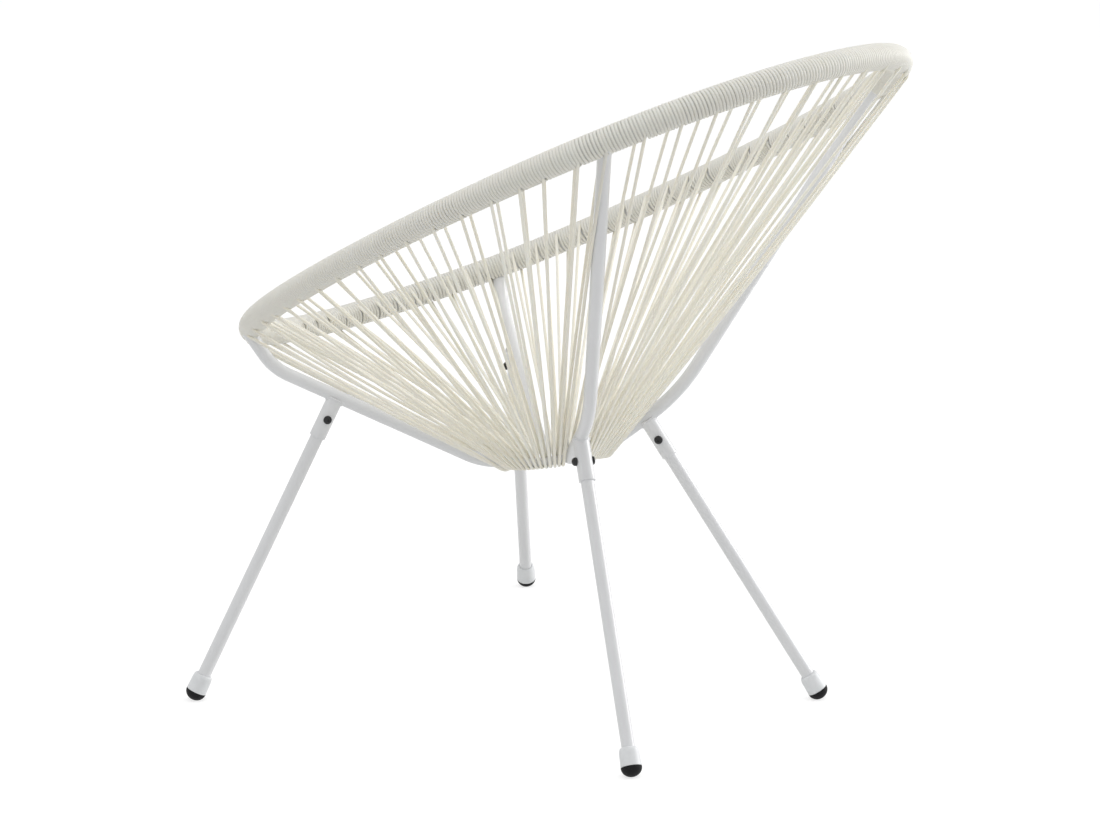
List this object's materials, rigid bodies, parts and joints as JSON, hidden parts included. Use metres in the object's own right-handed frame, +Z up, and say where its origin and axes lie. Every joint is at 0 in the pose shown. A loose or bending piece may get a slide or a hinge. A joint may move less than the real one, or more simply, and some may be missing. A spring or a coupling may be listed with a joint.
{
  "type": "acapulco chair",
  "caption": "Low patio chair: a tilted egg-shaped tube hoop wrapped and laced with plastic cord down to a small ring, on bent tube struts and plug-in tube legs with rubber feet.",
  "frame": {"origin": "on the floor, under the middle of the chair's bounding box", "axes": "+Z up, the sitter faces -Y, +X is the sitter's left; symmetric about X = 0"},
  "size_m": [0.6796, 0.8358, 0.8357],
  "materials": {
    "frame": "white powder coat over steel tube",
    "ferrule": "white moulded plastic",
    "glide": "black rubber",
    "bolt": "black coated steel",
    "cord": "cream extruded vinyl cord"
  },
  "bodies": {
    "root": {"hoop_tube": "frame", "lower_ring": "frame", "strut_front_left": "frame", "strut_front_right": "frame", "strut_back_left": "frame", "strut_back_right": "frame", "leg_socket_front_left": "frame", "leg_socket_front_right": "frame", "leg_socket_back_left": "frame", "leg_socket_back_right": "frame", "leg_front_left": "frame", "leg_front_right": "frame", "leg_back_left": "frame", "leg_back_right": "frame", "ferrule_front_left": "ferrule", "ferrule_front_right": "ferrule", "ferrule_back_left": "ferrule", "ferrule_back_right": "ferrule", "glide_front_left": "glide", "glide_front_right": "glide", "glide_back_left": "glide", "glide_back_right": "glide", "bolt_front_left": "bolt", "bolt_front_right": "bolt", "bolt_back_left": "bolt", "bolt_back_right": "bolt", "cap_nut_front_left": "bolt", "cap_nut_front_right": "bolt", "cap_nut_back_left": "bolt", "cap_nut_back_right": "bolt", "lacing_front_middle": "cord", "lacing_front_left": "cord", "lacing_front_right": "cord", "lacing_side_1_left": "cord", "lacing_side_2_left": "cord", "lacing_side_3_left": "cord", "lacing_side_4_left": "cord", "lacing_back_1_left": "cord", "lacing_back_2_left": "cord", "lacing_side_1_right": "cord", "lacing_side_2_right": "cord", "lacing_side_3_right": "cord", "lacing_side_4_right": "cord", "lacing_back_1_right": "cord", "lacing_back_2_right": "cord"}
  },
  "joints": []
}
